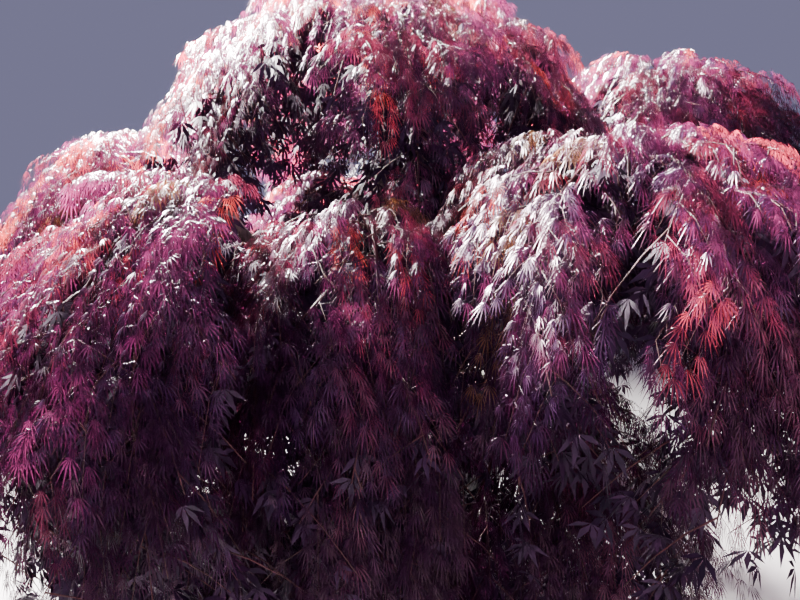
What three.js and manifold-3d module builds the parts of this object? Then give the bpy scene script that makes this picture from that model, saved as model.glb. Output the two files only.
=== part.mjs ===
// A weeping, lace-leaved Japanese maple in a plain round pot, in millimetres, +Z up.
// The origin is the centre of the pot's flat underside. +X is to the viewer's right and -Y is the viewer's side.
// The tree is a short leaning trunk, one bough to each tier, and masses of foliage that hang from each bough's tip
// like the ribs of an umbrella. Every mass grows by the same seeded rule and keeps to its own share of the crown.
import * as THREE from "three";
import { mergeVertices } from "three/addons/utils/BufferGeometryUtils.js";
import Module from "manifold-3d";

const wasm = await Module();
wasm.setup();

// Driving dimensions
const CLEARANCE = 0.3; // left between solids that rest on or join each other
const POT = {
  height: 600,
  footRadius: 318,
  waistRadius: 352,
  neckRadius: 418,
  rimRadius: 462,
  rimHeight: 58,
  wall: 34,
  floor: 40,
  sides: 32,
  drainHoles: 3,
  drainRadius: 15,
  drainCircle: 170,
};
const SOIL = { edgeHeight: 536, crownHeight: 566, flatRadius: 190 };
const TRUNK = {
  flareRadius: 132,
  neckRadius: 74,
  forkRadius: 58,
  flareHeight: 95,
  forkHeight: 1010,
  lean: [-46, 30],
  sides: 14,
  buttresses: 5,
};
const BOUGH = { tipRadius: 13, sides: 7, steps: 9, tipBelowTop: 62 };
const SPINE = { startAngle: 8, endAngle: 99, sway: 34, apart: 135, stemRadius: 4.4, stemEndRadius: 3, stemLevel: 14, samples: 9 };
const CORE = { start: 0.03, end: 0.93, rings: 5, sides: 6, outside: 52, inside: 30, widthShare: 0.54, gap: 10 };
const LEAF = { onFace: 6, onHem: 3, length: 205, width: 150, thickness: 7, gap: 4, sunk: 0.35 };
const LIMB_ROOM = 7; // kept between foliage and any limb that it does not grow from

// One row for each bough and the tier of foliage round its tip: the tip's place, the top of the tier, how far it
// spreads and drops, where on the trunk the bough leaves, and the headings of its masses in degrees from +X.
const TIERS = [
  { name: "crown", hub: [-60, 212], top: 2090, spread: 765, drop: 700, from: 1, radius: 44, first: 20, step: 52, count: 7 },
  { name: "front_lobe", hub: [595, -712], top: 1590, spread: 545, drop: 480, from: 0.62, radius: 34, first: -175, step: 48, count: 5 },
  { name: "front_left", hub: [-451, -714], top: 1486, spread: 520, drop: 640, from: 0.74, radius: 32, first: -179, step: 42, count: 3 },
  { name: "left_shoulder", hub: [-900, 50], top: 1600, spread: 520, drop: 790, from: 0.84, radius: 36, first: 121, step: 42, count: 4 },
  { name: "back", hub: [-204, 620], top: 1440, spread: 540, drop: 780, from: 0.7, radius: 33, first: 16, step: 45, count: 4 },
  { name: "right_back", hub: [1013, 346], top: 1885, spread: 625, drop: 900, from: 0.9, radius: 38, first: -110, step: 54, count: 5 },
  { name: "skirt_right_front", hub: [430, -600], top: 890, spread: 395, drop: 560, from: 0.4, radius: 24, first: -138, step: 49, count: 3 },
  { name: "skirt_front", hub: [-215, -535], top: 700, spread: 390, drop: 440, from: 0.42, radius: 22, first: -154, step: 44, count: 3 },
  { name: "skirt_left_front", hub: [-597, -306], top: 881, spread: 500, drop: 540, from: 0.36, radius: 25, first: -213, step: 52, count: 3 },
  { name: "skirt_left_back", hub: [-523, 331], top: 839, spread: 480, drop: 540, from: 0.46, radius: 25, first: 76, step: 54, count: 3 },
  { name: "skirt_right_back", hub: [505, 850], top: 785, spread: 480, drop: 520, from: 0.34, radius: 25, first: -14, step: 61, count: 3 },
  { name: "front_middle", hub: [-84, -675], top: 1428, spread: 410, drop: 650, from: 0.8, radius: 29, first: -130, step: 43, count: 2 },
];

const material = (colour, roughness) => new THREE.MeshStandardMaterial({ color: colour, roughness, metalness: 0 });
const MATERIALS = {
  pot: material(0x3f4446, 0.55),
  soil: material(0x3a2a1f, 0.95),
  bark: material(0x6a5a50, 0.9),
  foliage: material(0x5a1426, 0.6),
};

const radians = THREE.MathUtils.degToRad;
const mix = THREE.MathUtils.lerp;
const vector = (x, y, z) => new THREE.Vector3(x, y, z);
const heading = (degrees) => vector(Math.cos(radians(degrees)), Math.sin(radians(degrees)), 0);

// A repeatable number from 0 to 1 for draw number k of seed.
function chance(seed, k) {
  const value = Math.sin(seed * 127.1 + k * 311.7 + 74.7) * 43758.5453;
  return value - Math.floor(value);
}

// A repeatable number from -1 to 1.
const swing = (seed, k) => 2 * chance(seed, k) - 1;

// Solids and geometries

// Closes rings of points, each with the same count, into one skin with a fan over each end.
function loft(rings) {
  const count = rings[0].length;
  const positions = [];
  const triangles = [];
  const middle = (ring) => ring.reduce((sum, p) => sum.add(p), vector(0, 0, 0)).divideScalar(count);
  for (const ring of rings) for (const p of ring) positions.push(p.x, p.y, p.z);
  const at = (ring, i) => ring * count + (i % count);
  for (let ring = 0; ring + 1 < rings.length; ring++)
    for (let i = 0; i < count; i++) {
      triangles.push(at(ring, i), at(ring, i + 1), at(ring + 1, i + 1));
      triangles.push(at(ring, i), at(ring + 1, i + 1), at(ring + 1, i));
    }
  const last = rings.length - 1;
  const ends = [middle(rings[0]), middle(rings[last])];
  ends.forEach((p) => positions.push(p.x, p.y, p.z));
  const firstEnd = rings.length * count;
  for (let i = 0; i < count; i++) {
    triangles.push(at(0, i + 1), at(0, i), firstEnd);
    triangles.push(at(last, i), at(last, i + 1), firstEnd + 1);
  }
  return indexed(positions, triangles);
}

// A geometry from flat arrays, with its faces turned outwards.
function indexed(positions, triangles) {
  const corner = (i) => vector(positions[3 * i], positions[3 * i + 1], positions[3 * i + 2]);
  let volume = 0;
  for (let t = 0; t < triangles.length; t += 3) {
    const [a, b, c] = [corner(triangles[t]), corner(triangles[t + 1]), corner(triangles[t + 2])];
    volume += a.dot(b.cross(c));
  }
  if (volume < 0)
    for (let t = 0; t < triangles.length; t += 3)
      [triangles[t + 1], triangles[t + 2]] = [triangles[t + 2], triangles[t + 1]];
  const geometry = new THREE.BufferGeometry();
  geometry.setAttribute("position", new THREE.Float32BufferAttribute(positions, 3));
  geometry.setIndex(triangles);
  return geometry;
}

function toSolid(geometry) {
  const bare = geometry.clone();
  bare.deleteAttribute("normal");
  bare.deleteAttribute("uv");
  const merged = mergeVertices(bare, 1e-3);
  return new wasm.Manifold(
    new wasm.Mesh({
      numProp: 3,
      vertProperties: new Float32Array(merged.attributes.position.array),
      triVerts: new Uint32Array(merged.index.array),
    }),
  );
}

function toGeometry(solid) {
  const mesh = solid.getMesh();
  const positions = [];
  for (let i = 0; i < mesh.numVert; i++)
    positions.push(...mesh.vertProperties.subarray(i * mesh.numProp, i * mesh.numProp + 3));
  const geometry = new THREE.BufferGeometry();
  geometry.setAttribute("position", new THREE.Float32BufferAttribute(positions, 3));
  geometry.setIndex([...mesh.triVerts]);
  return geometry;
}

// The largest body of a solid, without the scraps that a cut or a loose leaf leaves.
function largest(solid) {
  return solid.decompose().reduce((best, body) => (body.volume() > best.volume() ? body : best));
}

// Rings round a curve. size(u) gives the radius at u, and ripple(u, angle) an optional factor on it.
function tubeRings(curve, steps, sides, size, ripple = () => 1) {
  const frames = curve.computeFrenetFrames(steps, false);
  const rings = [];
  for (let j = 0; j <= steps; j++) {
    const u = j / steps;
    const centre = curve.getPointAt(u);
    const ring = [];
    for (let i = 0; i < sides; i++) {
      const angle = (2 * Math.PI * i) / sides;
      const radius = size(u) * ripple(u, angle);
      ring.push(
        centre
          .clone()
          .addScaledVector(frames.normals[j], radius * Math.cos(angle))
          .addScaledVector(frames.binormals[j], radius * Math.sin(angle)),
      );
    }
    rings.push(ring);
  }
  return rings;
}

// Pot and soil

// The wall's outer radius at a height above the underside.
function potRadius(z) {
  const share = THREE.MathUtils.clamp(z / (POT.height - POT.rimHeight), 0, 1);
  const belly = Math.sin(Math.PI * share) * (POT.waistRadius - POT.footRadius) * 0.6;
  return mix(POT.footRadius, POT.neckRadius, share) + belly;
}

function potProfile() {
  const rimFoot = POT.height - POT.rimHeight;
  const outer = [0, 0.02, 0.25, 0.5, 0.75, 1].map((share) => [potRadius(share * rimFoot), share * rimFoot]);
  outer[0][0] -= 10;
  const rim = [
    [POT.rimRadius - 6, rimFoot + 4],
    [POT.rimRadius, rimFoot + 16],
    [POT.rimRadius, POT.height - 14],
    [POT.rimRadius - 12, POT.height],
    [potRadius(rimFoot) - POT.wall + 8, POT.height],
    [potRadius(rimFoot) - POT.wall, POT.height - 12],
  ];
  const inner = [0.8, 0.5, 0.25].map((share) => [potRadius(share * rimFoot) - POT.wall, share * rimFoot]);
  inner.push([potRadius(POT.floor) - POT.wall, POT.floor]);
  return [[0, 0], ...outer, ...rim, ...inner, [0, POT.floor]];
}

// Turns a profile of [radius, height] points round the Z axis.
function lathe(profile, sides) {
  const points = profile.map(([r, z]) => new THREE.Vector2(r, z));
  return new THREE.LatheGeometry(points, sides).rotateX(Math.PI / 2);
}

function pot() {
  let body = toSolid(lathe(potProfile(), POT.sides));
  for (let k = 0; k < POT.drainHoles; k++) {
    const centre = heading((360 * k) / POT.drainHoles + 30).multiplyScalar(POT.drainCircle);
    const drill = new THREE.CylinderGeometry(POT.drainRadius, POT.drainRadius, 3 * POT.floor, 10).rotateX(Math.PI / 2);
    body = body.subtract(toSolid(drill.translate(centre.x, centre.y, 0)));
  }
  return toGeometry(body);
}

// The inner wall's radius at a height, on the pot's own straight-sided profile.
function wallRadius(z) {
  const inside = potProfile().slice(-6, -1).reverse();
  const above = inside.findIndex((p) => p[1] >= z);
  const [low, high] = [inside[Math.max(above - 1, 0)], inside[Math.max(above, 1)]];
  return mix(low[0], high[0], (z - low[1]) / (high[1] - low[1]));
}

function soil() {
  const inset = 2 * CLEARANCE;
  const rimFoot = POT.height - POT.rimHeight;
  const foot = POT.floor + CLEARANCE;
  const side = [foot, 0.25 * rimFoot, 0.5 * rimFoot, 0.8 * rimFoot, SOIL.edgeHeight];
  const wall = side.map((z) => [wallRadius(z) - inset, z]);
  const slope = [[0.5 * (SOIL.flatRadius + wallRadius(SOIL.edgeHeight)), mix(SOIL.edgeHeight, SOIL.crownHeight, 0.7)]];
  return lathe([[0, foot], ...wall, ...slope, [SOIL.flatRadius, SOIL.crownHeight], [0, SOIL.crownHeight]], POT.sides);
}

// Trunk and boughs

const TRUNK_FOOT = SOIL.crownHeight + CLEARANCE;

const trunkCurve = new THREE.CatmullRomCurve3([
  vector(0, 0, TRUNK_FOOT),
  vector(0, 0, TRUNK_FOOT + TRUNK.flareHeight),
  vector(TRUNK.lean[0] * 0.9, TRUNK.lean[1] * 0.1, mix(TRUNK_FOOT, TRUNK.forkHeight, 0.55)),
  vector(TRUNK.lean[0], TRUNK.lean[1], TRUNK.forkHeight),
]);

// The trunk's radius falls fast through the root flare and slowly above it.
function trunkRadius(u) {
  const flare = Math.exp((-u * (TRUNK.forkHeight - TRUNK_FOOT)) / (0.55 * TRUNK.flareHeight));
  return mix(TRUNK.neckRadius, TRUNK.forkRadius, u) + (TRUNK.flareRadius - TRUNK.neckRadius) * flare;
}

// Buttress roots stand out of the flare and die away up the trunk.
function buttress(u, angle) {
  return 1 + 0.17 * Math.exp(-7 * u) * Math.cos(TRUNK.buttresses * angle + 0.6) + 0.05 * Math.cos(3 * angle + 9 * u);
}

// grow makes the same limb thicker by a margin, for cutting what joins it.
function trunkSolid(grow = 0) {
  const rings = tubeRings(trunkCurve, 9, TRUNK.sides, trunkRadius, buttress);
  if (!grow) rings[0].forEach((p) => (p.z = TRUNK_FOOT));
  const axis = rings.map((_, j) => trunkCurve.getPointAt(j / (rings.length - 1)));
  if (grow) {
    rings.forEach((ring, j) => ring.forEach((p) => p.addScaledVector(p.clone().sub(axis[j]).normalize(), grow)));
    rings[rings.length - 1].forEach((p) => (p.z += grow));
    rings[0].forEach((p) => (p.z -= grow));
  }
  return toSolid(loft(rings));
}

// A bough leaves the trunk, climbs outwards with a slow double bend and ends upright under the top of its tier.
function boughCurve(tier, index) {
  const start = trunkCurve.getPointAt(mix(0.52, 0.97, tier.from));
  const end = vector(tier.hub[0], tier.hub[1], tier.top - BOUGH.tipBelowTop);
  const across = end.clone().sub(start).setZ(0);
  const side = vector(-across.y, across.x, 0).normalize();
  const bend = across.length() * 0.1 * swing(index, 1) + 24 * Math.sign(swing(index, 2));
  const at = (share, rise, sideways) =>
    vector(
      mix(start.x, end.x, share) + side.x * sideways,
      mix(start.y, end.y, share) + side.y * sideways,
      mix(start.z, end.z, rise),
    );
  if (tier.from === 1)
    return new THREE.CatmullRomCurve3([start, at(0.25, 0.3, 46), at(0.75, 0.68, -40), end]);
  return new THREE.CatmullRomCurve3([
    start,
    at(0.2, 0.13, bend * 0.3),
    at(0.46, 0.32, bend),
    at(0.76, 0.6, -bend * 0.45),
    at(0.94, 0.84, -bend * 0.2),
    end,
  ]);
}

const BOUGHS = TIERS.map((tier, index) => ({ tier, curve: boughCurve(tier, index) }));

function boughRadius(tier, u) {
  return mix(tier.radius, BOUGH.tipRadius, Math.pow(u, 0.8));
}

// A grown bough is longer at its tip by the same margin, so that a stem cut by the grown bough stays clear of its end too.
function boughSolid({ tier, curve }, grow = 0) {
  const rings = tubeRings(curve, BOUGH.steps, BOUGH.sides, (u) => boughRadius(tier, u) + grow);
  if (grow) {
    const tip = curve.getTangentAt(1).multiplyScalar(grow);
    rings[rings.length - 1].forEach((p) => p.add(tip));
  }
  return toSolid(loft(rings));
}

// Foliage

// Every mass has a spine: a quarter of an ellipse from its bough's tip out and down to the hem. It reaches less far
// where the spines of earlier tiers would come too near.
const MASSES = [];
TIERS.forEach((tier, tierIndex) => {
  for (let k = 0; k < tier.count; k++) {
    const seed = 10 * tierIndex + k + 1;
    const degrees = tier.first + tier.step * k + 5 * swing(seed, 1);
    const mass = {
      name: `${tier.name}_foliage_${k + 1}`,
      tier,
      tierIndex,
      seed,
      outward: heading(degrees),
      side: heading(degrees + 90),
      sway: SPINE.sway * swing(seed, 4),
    };
    for (let reach = 1; reach > 0.4; reach -= 0.07) {
      mass.spread = tier.spread * reach * (1 + 0.08 * swing(seed, 2));
      mass.drop = tier.drop * reach * reach * (1 + 0.07 * swing(seed, 3));
      mass.samples = spineSamples(mass);
      if (keepsApart(mass)) break;
    }
    MASSES.push(mass);
  }
});

function spineSamples(mass) {
  const shares = Array.from({ length: SPINE.samples }, (_, j) => j / (SPINE.samples - 1));
  return shares.map((share) => spinePoint(mass, mix(0.03, 0.98, share)));
}

function keepsApart(mass) {
  const others = MASSES.filter((other) => other.tier !== mass.tier).flatMap((other) => other.samples);
  return mass.samples.slice(2).every((p) => others.every((q) => p.distanceTo(q) > SPINE.apart));
}

function spinePoint(mass, u) {
  const angle = radians(mix(SPINE.startAngle, SPINE.endAngle, u));
  return vector(mass.tier.hub[0], mass.tier.hub[1], mass.tier.top - mass.drop * (1 - Math.cos(angle)))
    .addScaledVector(mass.outward, mass.spread * Math.sin(angle))
    .addScaledVector(mass.side, mass.sway * Math.sin(Math.PI * u));
}

function spineTangent(mass, u) {
  return spinePoint(mass, u + 0.01).sub(spinePoint(mass, u - 0.01)).normalize();
}

// How far a point lies inside the mass's own share of the crown: the nearest other spine less the nearest own one.
function room(mass, point) {
  let own = Infinity;
  let other = Infinity;
  for (const each of MASSES)
    for (const sample of each.samples) {
      const distance = point.distanceTo(sample);
      if (each === mass) own = Math.min(own, distance);
      else other = Math.min(other, distance);
    }
  return (other - own) / 2;
}

// Balls along each limb stand for it where foliage has to stay clear.
const LIMB_BALLS = BOUGHS.flatMap(({ tier, curve }) =>
  Array.from({ length: 40 }, (_, j) => ({
    tier,
    centre: curve.getPointAt(j / 39),
    radius: boughRadius(tier, j / 39),
  })),
);

function clearOfLimbs(point, distance) {
  return LIMB_BALLS.every((ball) => point.distanceTo(ball.centre) > ball.radius + distance);
}

function potClear(point) {
  return Math.hypot(point.x, point.y) > POT.rimRadius + 20 || point.z > POT.height + 20;
}

// The rings of a mass's dense middle. They lie across the spine, wide where the mass is widest and drawn to a point
// at the hem, and each corner is drawn in until it has room.
function coreRings(mass, fullness) {
  const halfWidth = CORE.widthShare * mass.spread * radians(mass.tier.step);
  const rings = [];
  for (let j = 0; j < CORE.rings; j++) {
    const share = j / (CORE.rings - 1);
    const u = mix(CORE.start, CORE.end, share);
    const centre = spinePoint(mass, u);
    const normal = facing(mass, u);
    const swell = Math.pow(Math.sin(Math.PI * mix(0.2, 0.9, share)), 0.7) * fullness;
    const corners = [];
    for (let i = 0; i < CORE.sides; i++) {
      const angle = (2 * Math.PI * (i + 0.5)) / CORE.sides;
      const uneven = 1 + 0.15 * swing(mass.seed, 40 + 8 * j + i);
      const depth = Math.sin(angle) > 0 ? CORE.outside : CORE.inside * mix(0.45, 1, Math.min(3 * share, 1));
      const offset = mass.side.clone().multiplyScalar(halfWidth * Math.cos(angle) * swell * uneven);
      offset.addScaledVector(normal, depth * Math.sin(angle) * swell * uneven);
      let keep = 1;
      let corner = centre.clone().add(offset);
      while (keep > 0.12 && !(room(mass, corner) > CORE.gap && clearOfLimbs(corner, 14))) {
        keep -= 0.06;
        corner = centre.clone().addScaledVector(offset, keep);
      }
      corners.push(corner);
    }
    rings.push({ centre, corners });
  }
  return rings;
}

// The direction in which the outer face of a mass looks at u.
function facing(mass, u) {
  const normal = spineTangent(mass, u).cross(mass.side).normalize();
  return normal.dot(mass.outward) + normal.z < 0 ? normal.negate() : normal;
}

// The stem leaves the bough's tip and runs down the middle of the mass.
function stemSolid(mass) {
  const { curve: limb } = BOUGHS[mass.tierIndex];
  const root = limb.getPointAt(1 - SPINE.stemLevel / limb.getLength());
  const clear = root.clone().addScaledVector(mass.outward, 42).add(vector(0, 0, 10));
  const curve = new THREE.CatmullRomCurve3([root, clear, spinePoint(mass, 0.12), spinePoint(mass, 0.3)]);
  return toSolid(loft(tubeRings(curve, 4, 3, (u) => mix(SPINE.stemRadius, SPINE.stemEndRadius, u))));
}

// A leaf stands for a spray, thickest near its root. On the outer face it is a plain blade, and on the hem a claw.
const BLADE = [
  [0, 0],
  [0.46, 0.42],
  [1, 0],
  [0.46, -0.42],
];
const CLAW = [
  [0, 0],
  [0.58, 0.5],
  [0.5, 0.15],
  [1, 0],
  [0.5, -0.15],
  [0.58, -0.5],
];

function leafPoints({ root, growth, across, outline }, length, width) {
  return outline.map(([l, w]) => root.clone().addScaledVector(growth, l * length).addScaledVector(across, w * width));
}

function leafSolid(points, along, across, length, thickness) {
  const normal = along.clone().cross(across).normalize();
  const middle = points[0].clone().addScaledVector(along, 0.38 * length);
  const half = thickness / 2;
  const all = [...points, middle.clone().addScaledVector(normal, half), middle.clone().addScaledVector(normal, -half)];
  const positions = all.flatMap((p) => [p.x, p.y, p.z]);
  const triangles = [];
  for (let i = 0; i < points.length; i++) {
    const next = (i + 1) % points.length;
    triangles.push(i, next, points.length, next, i, points.length + 1);
  }
  return toSolid(indexed(positions, triangles));
}

// A point on a core's skin. share runs from its top to its hem, and turn from one side edge, 0, over the outer
// face's ridge, 1, to the other edge, 2.
function skinPoint(rings, share, turn) {
  const place = Math.min(share * (rings.length - 1), rings.length - 1.001);
  const row = Math.floor(place);
  const column = Math.min(Math.floor(turn), 1);
  const across = (ring) => ring.corners[column].clone().lerp(ring.corners[column + 1], turn - column);
  const skin = across(rings[row]).lerp(across(rings[row + 1]), place - row);
  const centre = rings[row].centre.clone().lerp(rings[row + 1].centre, place - row);
  return { skin, centre };
}

// The seeded rule for one leaf. Leaves on the outer face lean out and down from it, and those on the hem hang.
function leafPlan(mass, rings, k) {
  const draw = (n) => swing(mass.seed, 100 + 10 * k + n);
  const hangs = k >= LEAF.onFace;
  const faceShare = mix(0.0, 0.86, (k + 0.5) / LEAF.onFace) + 0.05 * draw(1);
  const share = hangs ? 0.97 : THREE.MathUtils.clamp(faceShare, 0, 0.9);
  const turn = hangs ? 1 + 0.9 * (k - LEAF.onFace - 1) : [1, 0.35, 1.65, 0.8, 0.1, 1.9, 1.2][k % 7] + 0.1 * draw(2);
  const u = mix(CORE.start, CORE.end, share);
  const { skin, centre } = skinPoint(rings, share, turn);
  const normal = facing(mass, u);
  const growth = spineTangent(mass, u)
    .multiplyScalar(0.8 + 0.1 * draw(3))
    .addScaledVector(normal, hangs ? 0.05 : mix(0.16, 0.5, share))
    .addScaledVector(mass.side, (turn - 1) * -0.55 + 0.22 * draw(4))
    .add(vector(0, 0, hangs ? -0.5 : -0.1))
    .normalize();
  const across = growth.clone().cross(normal).normalize();
  const outline = hangs ? CLAW : BLADE;
  return { root: skin.lerp(centre, LEAF.sunk), growth, across, outline, scale: 1 + 0.15 * draw(5) };
}

// A leaf is kept where its corners and the middles between them have room in the mass's share, off the pot.
function leafFits(mass, points) {
  const middles = points.map((p, i) => p.clone().lerp(points[(i + 2) % points.length], 0.5));
  return [...points.slice(1), ...middles].every((p) => room(mass, p) > LEAF.gap && potClear(p));
}

// boughCutter is the mass's own bough grown by the clearance. Leaves and core miss everything in taken: every limb
// grown by the room kept round it, and the masses made before this one.
function massSolid(mass, boughCutter, taken) {
  const misses = (solid) => taken.every((other) => solid.intersect(other).isEmpty());
  const coreSolid = (rings) => toSolid(loft(rings.map((ring) => ring.corners)));
  let fullness = 1;
  let rings = coreRings(mass, fullness);
  while (fullness > 0.3 && !misses(coreSolid(rings))) {
    fullness -= 0.08;
    rings = coreRings(mass, fullness);
  }
  const pieces = [coreSolid(rings), largest(stemSolid(mass).subtract(boughCutter))];
  for (let k = 0; k < LEAF.onFace + LEAF.onHem; k++) {
    const plan = leafPlan(mass, rings, k);
    for (const shrink of [1, 0.84, 0.7, 0.56]) {
      const length = LEAF.length * plan.scale * shrink;
      const width = LEAF.width * plan.scale * shrink;
      const points = leafPoints(plan, length, width);
      if (!leafFits(mass, points)) continue;
      if (misses(leafSolid(points, plan.growth, plan.across, length, 2 * LEAF.thickness))) {
        pieces.push(leafSolid(points, plan.growth, plan.across, length, LEAF.thickness));
        break;
      }
    }
  }
  return largest(wasm.Manifold.union(pieces));
}

// Assembly
const tree = new THREE.Group();

function addMesh(name, geometry, finish) {
  const mesh = new THREE.Mesh(geometry, finish);
  mesh.name = name;
  tree.add(mesh);
}

addMesh("pot", pot(), MATERIALS.pot);
addMesh("soil", soil(), MATERIALS.soil);
addMesh("trunk", toGeometry(trunkSolid()), MATERIALS.bark);

const cutTrunk = trunkSolid(CLEARANCE);
const cutBoughs = BOUGHS.map((bough) => boughSolid(bough, CLEARANCE));
BOUGHS.forEach((bough, index) => {
  const cutters = [cutTrunk, ...cutBoughs.slice(0, index)];
  const limb = cutters.reduce((body, cutter) => body.subtract(cutter), boughSolid(bough));
  addMesh(`${bough.tier.name}_bough`, toGeometry(largest(limb)), MATERIALS.bark);
});

const taken = [trunkSolid(LIMB_ROOM), ...BOUGHS.map((bough) => boughSolid(bough, LIMB_ROOM))];
for (const mass of MASSES) {
  const foliage = massSolid(mass, cutBoughs[mass.tierIndex], taken);
  taken.push(foliage);
  addMesh(mass.name, toGeometry(foliage), MATERIALS.foliage);
}

export default tree;
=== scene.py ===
import math
from collections import namedtuple

import bpy
import numpy as np
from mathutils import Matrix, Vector


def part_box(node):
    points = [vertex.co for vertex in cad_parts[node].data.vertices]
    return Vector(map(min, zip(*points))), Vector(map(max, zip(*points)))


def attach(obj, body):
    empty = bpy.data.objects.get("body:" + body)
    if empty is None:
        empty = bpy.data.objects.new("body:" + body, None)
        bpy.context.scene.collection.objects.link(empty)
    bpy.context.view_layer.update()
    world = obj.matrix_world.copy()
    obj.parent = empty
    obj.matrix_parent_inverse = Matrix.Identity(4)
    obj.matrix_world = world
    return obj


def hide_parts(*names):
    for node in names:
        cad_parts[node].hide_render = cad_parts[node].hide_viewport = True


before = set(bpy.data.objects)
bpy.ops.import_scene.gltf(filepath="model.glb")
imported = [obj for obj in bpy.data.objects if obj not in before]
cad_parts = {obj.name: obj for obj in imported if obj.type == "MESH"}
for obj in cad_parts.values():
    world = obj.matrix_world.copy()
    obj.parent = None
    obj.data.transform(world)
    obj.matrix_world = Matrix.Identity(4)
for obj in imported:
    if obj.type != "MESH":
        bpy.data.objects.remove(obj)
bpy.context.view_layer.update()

# The pot: a plain round pot of dark cast fibre clay with a rolled rim, cast in one piece round a turned
# core. It stands flat on the ground, and three holes through its floor drain it.

POT_HEIGHT = 0.600
POT_FOOT_RADIUS = 0.318
POT_BELLY = 0.0204
POT_NECK_RADIUS = 0.418
POT_RIM_RADIUS = 0.462
POT_RIM_HEIGHT = 0.058
POT_WALL = 0.034
POT_FLOOR = 0.040
POT_DRAIN_RADIUS = 0.015
POT_DRAIN_CIRCLE = 0.170
POT_TURNS = 128


def in_scene(name, data):
    """A new object of the scene that holds the data."""
    made = bpy.data.objects.new(name, data)
    bpy.context.scene.collection.objects.link(made)
    return made


def surface(name, places, *face_blocks):
    """A mesh object at the origin from an array of places and one array of faces for each number of
    corners."""
    mesh = bpy.data.meshes.new(name)
    corners = np.concatenate([block.ravel() for block in face_blocks]).astype(np.int32)
    sizes = np.concatenate([np.full(len(block), block.shape[1]) for block in face_blocks])
    mesh.vertices.add(len(places))
    mesh.vertices.foreach_set("co", places.astype(np.float32).ravel())
    mesh.loops.add(len(corners))
    mesh.loops.foreach_set("vertex_index", corners)
    mesh.polygons.add(len(sizes))
    mesh.polygons.foreach_set("loop_start", (np.cumsum(sizes) - sizes).astype(np.int32))
    mesh.update(calc_edges=True)
    return in_scene(name, mesh)


def smooth(piece):
    """Shades the piece's faces as one smooth surface."""
    piece.data.polygons.foreach_set("use_smooth", np.ones(len(piece.data.polygons), bool))


def arc(centre, radius, first, last, count):
    """Points on part of a circle, from one heading in degrees to another, without the last one."""
    turn = np.radians(np.linspace(first, last, count, endpoint=False))
    return np.stack([centre[0] + radius * np.cos(turn), centre[1] + radius * np.sin(turn)], 1)


def turned(profile, turns):
    """Turns a profile of (radius, height) rows, which starts and ends on the axis, round the Z axis. The
    faces are quads between neighbouring rows, and a fan of triangles at each end."""
    angle = 2 * np.pi * np.arange(turns) / turns
    rings = profile[1:-1]
    places = np.stack(
        [
            np.outer(rings[:, 0], np.cos(angle)),
            np.outer(rings[:, 0], np.sin(angle)),
            np.repeat(rings[:, 1:2], turns, axis=1),
        ],
        axis=-1,
    ).reshape(-1, 3)
    ends = np.array([[0, 0, profile[0, 1]], [0, 0, profile[-1, 1]]])
    step = np.arange(turns)
    row = np.arange(len(rings) - 1)[:, None] * turns
    quads = np.stack(
        [row + step, row + (step + 1) % turns, row + turns + (step + 1) % turns, row + turns + step], axis=-1
    ).reshape(-1, 4)
    first, last = len(places), len(places) + 1
    top = (len(rings) - 1) * turns
    foot_fan = np.stack([np.full(turns, first), (step + 1) % turns, step], axis=1)
    top_fan = np.stack([np.full(turns, last), top + step, top + (step + 1) % turns], axis=1)
    return np.concatenate([places, ends]), quads, np.concatenate([foot_fan, top_fan])


class Wire:
    """One output socket in a material. Sums, differences and products of wires and numbers add Math nodes."""

    def __init__(self, finish, socket):
        self.finish = finish
        self.socket = socket

    def maths(self, operation, first, second):
        return self.finish.node("ShaderNodeMath", {"operation": operation}, {0: first, 1: second})

    def __add__(self, other):
        return self.maths("ADD", self, other)

    def __mul__(self, other):
        return self.maths("MULTIPLY", self, other)

    def __sub__(self, other):
        return self.maths("SUBTRACT", self, other)

    def __rsub__(self, other):
        return self.maths("SUBTRACT", other, self)

    __radd__ = __add__
    __rmul__ = __mul__


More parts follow.
